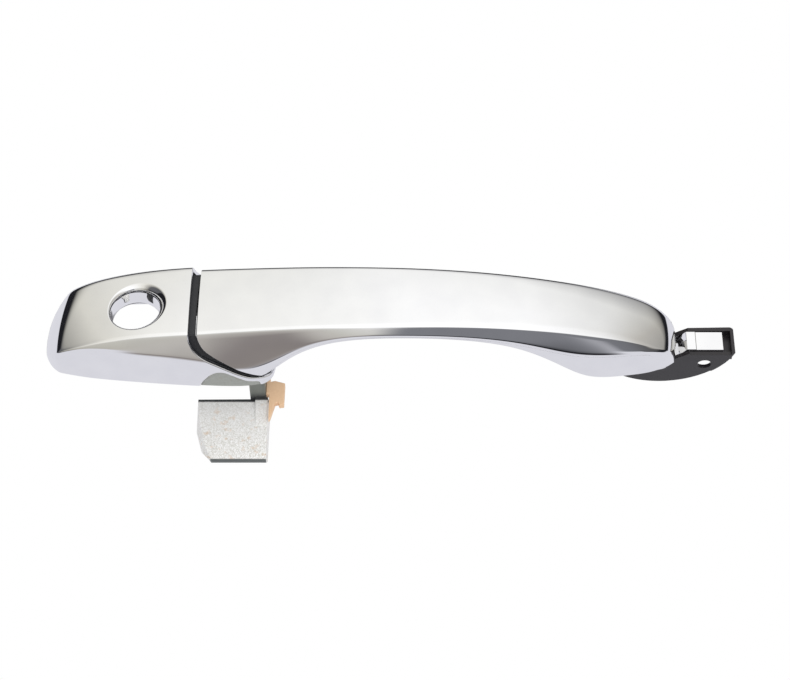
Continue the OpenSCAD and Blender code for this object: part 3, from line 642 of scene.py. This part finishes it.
# Glass-filled nylon of the frame and the core: dark grey, matt and finely mottled
black_nylon = material("glass-filled nylon, moulded", "#1f2023", 0.0, 0.5, 0.5, 0.6, 0.006,
                       "#2a2b2f")
# Rubber seals and stops: black with a slightly greasy shine
rubber = material("EPDM rubber, moulded", "#101012", 0.0, 0.3, 0.7, 0.5, 0.006, "#18181a")
# Screws: blue-white plating, brighter and duller in patches
screw_steel = material("zinc-plated steel, cold headed", "#b9bcc0", 1.0, 0.28, 0.3, 0.5, 0.003,
                       "#cdd0d4")
# Clamp insert: yellow metal, faintly mottled
brass = material("brass, turned", "#c9a35a", 1.0, 0.25, 0.25, 0.5, 0.002, "#d8b46c")

FINISH = {"chrome": chrome, "zinc": zinc, "acetal": acetal, "guide_nylon": guide_nylon,
          "nylon": black_nylon, "seal_rubber": rubber, "screw_steel": screw_steel,
          "brass": brass}
slot_of = {part["node"]: part["material_slot"] for part in frame["record"]["subparts"]}
for node_name, obj in frame["nodes"].items():
    obj.data.materials.clear()
    obj.data.materials.append(FINISH[slot_of[node_name]])
for piece, slot in ((cap, "chrome"), (street, "chrome"), (hand, "chrome"), (leg, "zinc"),
                    (clip, "acetal"), (tongue, "chrome"), (guide, "guide_nylon"), (block, "zinc")):
    piece.data.materials.append(FINISH[slot])

# ---- studio ---------------------------------------------------------------------------------------

world = bpy.data.worlds.new("soft studio")
bpy.context.scene.world = world
world.use_nodes = True
sky = world.node_tree
sky.nodes.clear()


def card_ramp(source, low, high, cards):
    """Ramp of light over a range of the source, its cards given as (value, colour)."""
    spread = add(sky, "ShaderNodeMapRange", {"From Min": low, "From Max": high}, {"Value": source})
    made = add(sky, "ShaderNodeValToRGB", links={"Fac": spread.outputs["Result"]})
    stops = made.color_ramp.elements
    for at, (value, colour) in enumerate(cards):
        position = (value - low) / (high - low)
        stop = stops[at] if at < 2 else stops.new(position)
        stop.position = position
        stop.color = linear(colour) if isinstance(colour, str) else (colour, colour, colour, 1)
    return made.outputs["Color"]


def laid_over(below, card, *edges):
    """The light so far with one more card over it, which is a colour or a light made before. An
    edge is a source and where the card starts and is full; the card is full inside all of them."""
    shares = [add(sky, "ShaderNodeMapRange", {"From Min": start, "From Max": full},
                  {"Value": source}, interpolation_type="SMOOTHSTEP").outputs["Result"]
              for source, start, full in edges]
    share = shares[0]
    for other in shares[1:]:
        share = add(sky, "ShaderNodeMath", links={0: share, 1: other},
                    operation="MULTIPLY").outputs[0]
    values, links = ({7: linear(card)}, {}) if isinstance(card, str) else ({}, {7: card})
    return add(sky, "ShaderNodeMix", values, {0: share, 6: below, **links},
               data_type="RGBA").outputs[2]


# The direction of the light: across along x, depthwise along y, height along z, and the angle in
# degrees up from the street side
to_light = add(sky, "ShaderNodeTexCoord").outputs["Generated"]
parts = add(sky, "ShaderNodeSeparateXYZ", links={"Vector": to_light})
across, depthwise, height = (parts.outputs[axis] for axis in "XYZ")
streetward = add(sky, "ShaderNodeMath", {1: -1.0}, {0: depthwise}, operation="MULTIPLY").outputs[0]
turn = add(sky, "ShaderNodeMath", links={0: height, 1: streetward}, operation="ARCTAN2").outputs[0]
angle = add(sky, "ShaderNodeMath", {1: 180 / math.pi}, {0: turn}, operation="MULTIPLY").outputs[0]
far_out = add(sky, "ShaderNodeMath", links={0: across}, operation="ABSOLUTE").outputs[0]

# Cards around the object, by the angle: pale behind, taupe below, white in front, dark above
CARDS = [(-180, "#cfcfd5"), (-128, "#cfcfd5"), (-118, "#aeacaf"), (-110, "#837d79"),
         (-106, "#7e7876"), (-100, "#a29e99"), (-92, "#b9b6b1"), (-84, "#c2c1bc"),
         (-72, "#cdccc9"), (-61, "#ececec"), (-54, "#ffffff"), (0, "#ffffff"), (22, "#f5f5f4"),
         (40, "#f1f1f0"), (62, "#e8e8e6"), (76, "#acacac"), (84, "#38383b"), (144, "#28282b"),
         (153, "#b0b0b5"), (180, "#cfcfd5")]
# Tint and brightness of the street side's cards, by how far the direction points along x
SIDE_CARDS = [(-1.0, "#58585c"), (-0.84, "#5e5e60"), (-0.77, "#a3a19b"), (-0.6, "#dbd9d1"),
              (-0.35, "#efeee9"), (-0.12, "#f7f7f5"), (0.0, "#ffffff"), (0.25, "#ffffff"),
              (0.45, "#ececeb"), (0.62, "#d3d2ce"), (0.78, "#bab7b1"), (1.0, "#a09e9a")]
# Soft light of the room on dull surfaces, by height: even, and a little weaker from above
SOFTBOXES = [(-1.0, 0.8), (-0.6, 1.0), (-0.2, 1.0), (0.3, 0.8), (0.6, 0.65), (1.0, 0.6)]
LAVENDER, SLATE, BLACK = "#cfcfd5", "#74757a", "#1c1c20"
ROOM_STRENGTH = 1.2
CARD_STRENGTH = 1.22
CARD_LEAN = -48.0           # degrees that the card beyond the lock end leans per unit of across

around = card_ramp(angle, -180, 180, CARDS)
# a slate card low down towards the hinge end, with a black line along its far edge
towards_hinge = (across, -0.05, 0.02)
low_cards = laid_over(around, SLATE, towards_hinge, (angle, -59, -70), (angle, -128, -112))
low_cards = laid_over(low_cards, BLACK, towards_hinge, (angle, -98, -110), (angle, -127, -121))
tinted_cards = add(sky, "ShaderNodeMix", {0: 1.0},
                   {6: low_cards, 7: card_ramp(across, -1, 1, SIDE_CARDS)},
                   data_type="RGBA", blend_type="MULTIPLY").outputs[2]
# a dark card high up beyond the lock end
leaning = add(sky, "ShaderNodeMath", {1: CARD_LEAN}, {0: across, 2: angle},
              operation="MULTIPLY_ADD").outputs[0]
street_cards = laid_over(tinted_cards, BLACK, (across, -0.2, -0.35), (leaning, 82, 95))
# pale cards on the door side, and a thin black line where they meet the street side's
door_cards = laid_over(low_cards, LAVENDER, (far_out, 0.2, 0.34))
all_cards = laid_over(street_cards, door_cards, (depthwise, 0.0, 0.12))
cards = laid_over(all_cards, BLACK, (far_out, 0.5, 0.6), (depthwise, -0.12, -0.02),
                  (depthwise, 0.15, 0.09))

ray = add(sky, "ShaderNodeLightPath")
plain = add(sky, "ShaderNodeBackground", {"Strength": ROOM_STRENGTH},
            {"Color": card_ramp(height, -1, 1, SOFTBOXES)})
reflected = add(sky, "ShaderNodeBackground", {"Strength": CARD_STRENGTH}, {"Color": cards})
seen = add(sky, "ShaderNodeBackground", {"Color": (1, 1, 1, 1), "Strength": 1.0})
lit = add(sky, "ShaderNodeMixShader", links={0: ray.outputs["Is Glossy Ray"],
                                             1: plain.outputs[0], 2: reflected.outputs[0]})
whole = add(sky, "ShaderNodeMixShader", links={0: ray.outputs["Is Camera Ray"],
                                               1: lit.outputs[0], 2: seen.outputs[0]})
add(sky, "ShaderNodeOutputWorld", links={"Surface": whole.outputs[0]})

FLOOR_DROP = 1.5            # metres below the handle
FLOOR_HALF = 6.0            # metres from the floor's middle to its edges
floor_mesh = bpy.data.meshes.new("studio_floor")
floor_corners = [(x * FLOOR_HALF, y * FLOOR_HALF, 0) for x, y in ((-1, -1), (1, -1), (1, 1), (-1, 1))]
floor_mesh.from_pydata(floor_corners, [], [(0, 1, 2, 3)])
floor = bpy.data.objects.new("studio_floor", floor_mesh)
floor.location = (0, 0, -FLOOR_DROP)
bpy.context.scene.collection.objects.link(floor)
floor.visible_glossy = False
# Painted board: matt, off-white, with hardly any texture
floor_mesh.materials.append(material("painted studio floor", "#f2f2f2", 0.0, 0.8, 3.0, 0.5, 0.01,
                                     "#f5f5f5"))


def lamp(name, spot, aim, width, watts):
    """Square soft lamp aimed at a point, which bright metal doesn't mirror."""
    data = bpy.data.lights.new(name, "AREA")
    data.shape = "SQUARE"
    data.size = width
    data.energy = watts
    made = bpy.data.objects.new(name, data)
    made.location = spot
    bpy.context.scene.collection.objects.link(made)
    x, y, z = np.array(spot) - np.array(aim)
    made.rotation_euler = (math.atan2(math.hypot(x, y), z), 0, math.atan2(x, -y))
    made.visible_glossy = False
    return made


MIDDLE = (0.09, 0.0, 0.0)
lamp("key light", (0.25, -1.1, -0.6), MIDDLE, 0.8, 7.3)
lamp("fill light", (0.9, -0.9, -0.2), MIDDLE, 0.9, 2.6)

CAMERA_ELEVATION = -33
CAMERA_DISTANCE = 0.76
CAMERA_AIM = (0.0903, 0.0, 0.00035)
FOCAL_LENGTH, SENSOR = 97.56, 36
camera_data = bpy.data.cameras.new("camera")
camera_data.lens = FOCAL_LENGTH
camera_data.sensor_width = SENSOR
camera = bpy.data.objects.new("camera", camera_data)
tilt = math.radians(-CAMERA_ELEVATION)
camera.location = (CAMERA_AIM[0], CAMERA_AIM[1] - CAMERA_DISTANCE * math.cos(tilt),
                   CAMERA_AIM[2] - CAMERA_DISTANCE * math.sin(tilt))
camera.rotation_euler = (math.pi / 2 + tilt, 0, 0)
bpy.context.scene.collection.objects.link(camera)
bpy.context.scene.camera = camera
bpy.context.scene.view_settings.view_transform = "Standard"
